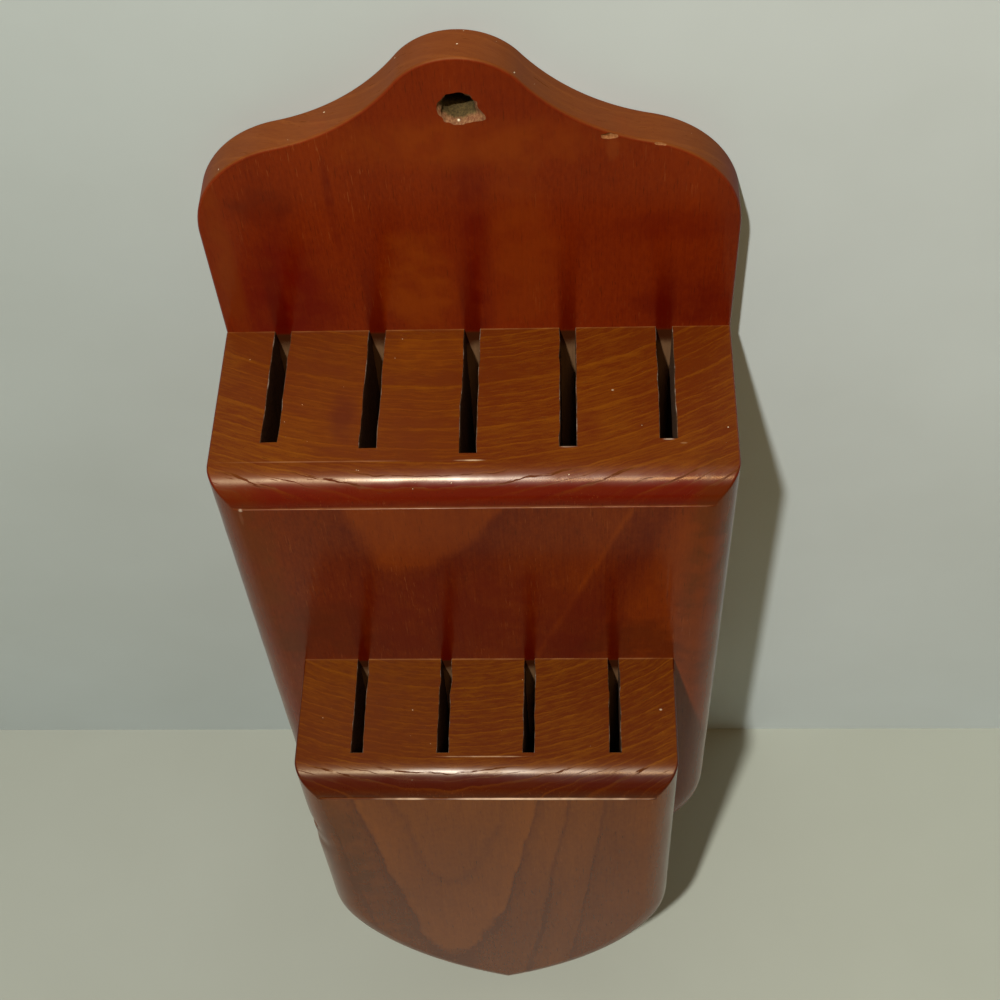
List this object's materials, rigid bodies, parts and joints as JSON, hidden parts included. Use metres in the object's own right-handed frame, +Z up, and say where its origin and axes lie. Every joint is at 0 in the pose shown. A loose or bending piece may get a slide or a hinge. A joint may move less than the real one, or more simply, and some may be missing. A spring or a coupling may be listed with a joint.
{
  "type": "wall knife block",
  "caption": "Wooden wall rack for kitchen knives: a scalloped back board with a hanging hole carries stepped blocks slotted from above.",
  "frame": {"origin": "centre of the hanging hole at the back board's back face", "axes": "+X to the right seen from the front, +Y towards the wall, +Z up; the front faces -Y"},
  "size_m": [0.1524, 0.1164, 0.387],
  "materials": {
    "lacquered_wood": "red-brown stain under gloss lacquer",
    "bare_wood": "bare turned hardwood",
    "plated_steel": "dull yellow zinc"
  },
  "bodies": {
    "root": {"back_board": "lacquered_wood", "upper_block": "lacquered_wood", "lower_block": "lacquered_wood", "board_screw_1": "plated_steel", "board_screw_2": "plated_steel", "board_screw_3": "plated_steel", "board_screw_4": "plated_steel", "dowel_1": "bare_wood", "dowel_2": "bare_wood", "dowel_3": "bare_wood", "dowel_4": "bare_wood"}
  },
  "joints": []
}
